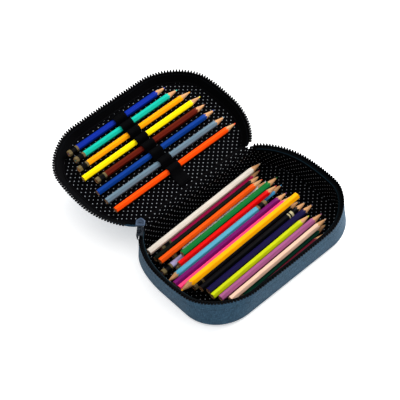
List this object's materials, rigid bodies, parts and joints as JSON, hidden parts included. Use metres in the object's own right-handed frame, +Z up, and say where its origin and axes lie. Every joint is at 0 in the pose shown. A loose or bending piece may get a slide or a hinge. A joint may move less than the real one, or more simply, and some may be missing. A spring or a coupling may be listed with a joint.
{
  "type": "pencil case",
  "caption": "Zip-round padded pencil case lying open, with a dotted lining, an elastic loop band in the lid and coloured pencils in the lid and tray.",
  "frame": {"origin": "centre of the tray's flat bottom, on the surface it stands on", "axes": "+X along the case's long side, -Y front of the tray, +Y hinge and open lid, +Z up"},
  "size_m": [0.2216, 0.3024, 0.0605],
  "materials": {
    "outer_fabric": "woven blue-grey melange polyester",
    "stiffener": "fibre board",
    "foam": "closed-cell foam",
    "lining": "black woven lining with small grey dots",
    "binding": "woven edge tape",
    "zip_tape": "ribbed woven zip tape",
    "lid_tape": "ribbed woven zip tape",
    "zip_teeth": "moulded plastic",
    "elastic": "woven elastic",
    "thread": "polyester thread",
    "slider_metal": "plated zinc",
    "pull_rubber": "soft matte",
    "paint_loop_royal_blue": "lacquered wood",
    "paint_loop_turquoise": "lacquered wood",
    "paint_loop_amber": "lacquered wood",
    "paint_loop_yellow": "lacquered wood",
    "paint_loop_brown": "lacquered wood",
    "paint_loop_navy": "lacquered wood",
    "paint_loop_slate": "lacquered wood",
    "paint_loop_vermilion": "lacquered wood",
    "paint_white": "lacquered wood",
    "paint_olive": "lacquered wood",
    "paint_orange": "lacquered wood",
    "paint_green": "lacquered wood",
    "paint_red": "lacquered wood",
    "paint_sky": "lacquered wood",
    "paint_purple": "lacquered wood",
    "paint_pink": "lacquered wood",
    "paint_black": "lacquered wood",
    "paint_indigo": "lacquered wood",
    "paint_lime": "lacquered wood",
    "paint_mauve": "lacquered wood",
    "paint_peach": "lacquered wood",
    "paint_thick_yellow": "lacquered wood",
    "paint_under_magenta": "lacquered wood",
    "paint_under_cream": "lacquered wood",
    "paint_under_lavender": "lacquered wood",
    "paint_under_azure": "lacquered wood",
    "paint_under_charcoal": "lacquered wood",
    "paint_under_fir": "lacquered wood",
    "paint_under_maroon": "lacquered wood"
  },
  "bodies": {
    "tray": {"base_bottom_panel": "outer_fabric", "base_wall_cover": "outer_fabric", "base_floor_board": "stiffener", "base_wall_foam": "foam", "base_floor_lining": "lining", "base_wall_lining": "lining", "base_rim_binding": "binding", "base_zip_tape": "zip_tape", "base_zip_teeth": "zip_teeth", "zip_end_stops": "zip_teeth", "hinge_spine_base": "outer_fabric", "hinge_lining_base": "lining"},
    "lid": {"lid_top_panel": "outer_fabric", "lid_edge_roll": "outer_fabric", "lid_foam": "foam", "lid_board": "stiffener", "lid_lining": "lining", "lid_rim_binding": "binding", "lid_zip_tape": "lid_tape", "lid_zip_teeth": "zip_teeth", "hinge_spine_lid": "outer_fabric", "hinge_lining_lid": "lining", "elastic_band": "elastic", "band_bartacks": "thread"},
    "slider": {"slider_body": "slider_metal"},
    "pull": {"pull_link": "slider_metal", "pull_tab": "pull_rubber"},
    "lower_layer": {"under_pencil_magenta": "paint_under_magenta", "under_pencil_cream": "paint_under_cream", "under_pencil_lavender": "paint_under_lavender", "under_pencil_azure": "paint_under_azure", "under_pencil_charcoal": "paint_under_charcoal", "under_pencil_fir": "paint_under_fir", "under_pencil_maroon": "paint_under_maroon"},
    "loop_royal_blue": {"loop_pencil_royal_blue": "paint_loop_royal_blue"},
    "loop_turquoise": {"loop_pencil_turquoise": "paint_loop_turquoise"},
    "loop_amber": {"loop_pencil_amber": "paint_loop_amber"},
    "loop_yellow": {"loop_pencil_yellow": "paint_loop_yellow"},
    "loop_brown": {"loop_pencil_brown": "paint_loop_brown"},
    "loop_navy": {"loop_pencil_navy": "paint_loop_navy"},
    "loop_slate": {"loop_pencil_slate": "paint_loop_slate"},
    "loop_vermilion": {"loop_pencil_vermilion": "paint_loop_vermilion"},
    "loose_white": {"pencil_white": "paint_white"},
    "loose_olive": {"pencil_olive": "paint_olive"},
    "loose_orange": {"pencil_orange": "paint_orange"},
    "loose_green": {"pencil_green": "paint_green"},
    "loose_red": {"pencil_red": "paint_red"},
    "loose_sky": {"pencil_sky": "paint_sky"},
    "loose_purple": {"pencil_purple": "paint_purple"},
    "loose_pink": {"pencil_pink": "paint_pink"},
    "loose_black": {"pencil_black": "paint_black"},
    "loose_indigo": {"pencil_indigo": "paint_indigo"},
    "loose_lime": {"pencil_lime": "paint_lime"},
    "loose_mauve": {"pencil_mauve": "paint_mauve"},
    "loose_peach": {"pencil_peach": "paint_peach"},
    "loose_thick_yellow": {"pencil_thick_yellow": "paint_thick_yellow"}
  },
  "joints": [
    {"name": "lid_hinge", "type": "hinge", "parent": "tray", "child": "lid", "pos_m": [0, 0.0745, 0.039], "axis": [-1, 0, 0], "range_deg": [-172, 0]},
    {"name": "zip_slide", "type": "slide", "parent": "tray", "child": "slider", "axis": [-0.6698, -0.7426, 0], "range_m": [0, 0.005]},
    {"name": "pull_hinge", "type": "hinge", "parent": "slider", "child": "pull", "pos_m": [-0.08685, 0.06704, 0.0429], "axis": [0.6701, -0.7422, 0], "range_deg": [0, 150]},
    {"name": "lower_layer_shift", "type": "slide", "parent": "tray", "child": "lower_layer", "axis": [0.9994, 0.0349, 0], "range_m": [-0.004, 0.004]},
    {"name": "loop_slide_royal_blue", "type": "slide", "parent": "lid", "child": "loop_royal_blue", "axis": [1, 0, 0], "range_m": [-0.005, 0.005]},
    {"name": "loop_slide_turquoise", "type": "slide", "parent": "lid", "child": "loop_turquoise", "axis": [1, 0, 0], "range_m": [-0.005, 0.005]},
    {"name": "loop_slide_amber", "type": "slide", "parent": "lid", "child": "loop_amber", "axis": [1, 0, 0], "range_m": [-0.005, 0.005]},
    {"name": "loop_slide_yellow", "type": "slide", "parent": "lid", "child": "loop_yellow", "axis": [1, 0, 0], "range_m": [-0.005, 0.005]},
    {"name": "loop_slide_brown", "type": "slide", "parent": "lid", "child": "loop_brown", "axis": [1, 0, 0], "range_m": [-0.005, 0.005]},
    {"name": "loop_slide_navy", "type": "slide", "parent": "lid", "child": "loop_navy", "axis": [1, 0, 0], "range_m": [-0.005, 0.005]},
    {"name": "loop_slide_slate", "type": "slide", "parent": "lid", "child": "loop_slate", "axis": [1, 0, 0], "range_m": [-0.005, 0.005]},
    {"name": "loop_slide_vermilion", "type": "slide", "parent": "lid", "child": "loop_vermilion", "axis": [1, 0, 0], "range_m": [-0.005, 0.005]},
    {"name": "lift_out_white", "type": "slide", "parent": "tray", "child": "loose_white", "axis": [0, 0, 1], "range_m": [0, 0.05]},
    {"name": "lift_out_olive", "type": "slide", "parent": "tray", "child": "loose_olive", "axis": [0, 0, 1], "range_m": [0, 0.05]},
    {"name": "lift_out_orange", "type": "slide", "parent": "tray", "child": "loose_orange", "axis": [0, 0, 1], "range_m": [0, 0.05]},
    {"name": "lift_out_green", "type": "slide", "parent": "tray", "child": "loose_green", "axis": [0, 0, 1], "range_m": [0, 0.05]},
    {"name": "lift_out_red", "type": "slide", "parent": "tray", "child": "loose_red", "axis": [0, 0, 1], "range_m": [0, 0.05]},
    {"name": "lift_out_sky", "type": "slide", "parent": "tray", "child": "loose_sky", "axis": [0, 0, 1], "range_m": [0, 0.05]},
    {"name": "lift_out_purple", "type": "slide", "parent": "tray", "child": "loose_purple", "axis": [0, 0, 1], "range_m": [0, 0.05]},
    {"name": "lift_out_pink", "type": "slide", "parent": "tray", "child": "loose_pink", "axis": [0, 0, 1], "range_m": [0, 0.05]},
    {"name": "lift_out_black", "type": "slide", "parent": "tray", "child": "loose_black", "axis": [0, 0, 1], "range_m": [0, 0.05]},
    {"name": "lift_out_indigo", "type": "slide", "parent": "tray", "child": "loose_indigo", "axis": [0, 0, 1], "range_m": [0, 0.05]},
    {"name": "lift_out_lime", "type": "slide", "parent": "tray", "child": "loose_lime", "axis": [0, 0, 1], "range_m": [0, 0.05]},
    {"name": "lift_out_mauve", "type": "slide", "parent": "tray", "child": "loose_mauve", "axis": [0, 0, 1], "range_m": [0, 0.05]},
    {"name": "lift_out_peach", "type": "slide", "parent": "tray", "child": "loose_peach", "axis": [0, 0, 1], "range_m": [0, 0.05]},
    {"name": "lift_out_thick_yellow", "type": "slide", "parent": "tray", "child": "loose_thick_yellow", "axis": [0, 0, 1], "range_m": [0, 0.05]}
  ]
}
